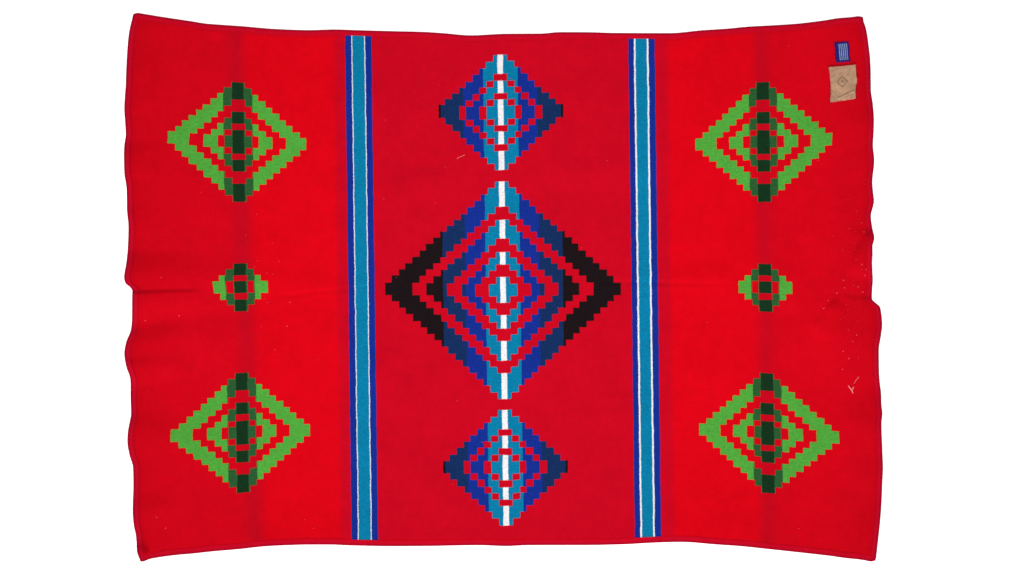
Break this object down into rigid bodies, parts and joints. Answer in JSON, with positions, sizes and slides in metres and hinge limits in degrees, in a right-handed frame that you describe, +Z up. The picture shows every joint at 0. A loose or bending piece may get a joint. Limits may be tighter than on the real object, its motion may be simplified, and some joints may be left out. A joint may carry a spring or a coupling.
{
  "type": "wool blanket",
  "caption": "Woven wool blanket laid out flat face up, with felt-bound edges and uneven short ends, and a label and leather patch near one corner.",
  "frame": {"origin": "middle of the blanket's plan, on the surface that it lies on", "axes": "+Z up from the surface through the blanket, +X along its length towards the end with the patch, +Y across its width towards the labelled edge"},
  "size_m": [2.0742, 1.5008, 0.0155],
  "materials": {
    "wool": "napped woven wool, red ground with a patterned weave",
    "felt": "matte crimson felt",
    "label": "blue woven ribbon, blank",
    "leather": "tan leather with rough cut edges, blank"
  },
  "bodies": {
    "root": {"cloth_panel": "wool", "binding_left": "felt", "binding_right": "felt", "binding_bottom": "felt", "binding_top": "felt", "woven_label": "label", "leather_patch": "leather"}
  },
  "joints": []
}
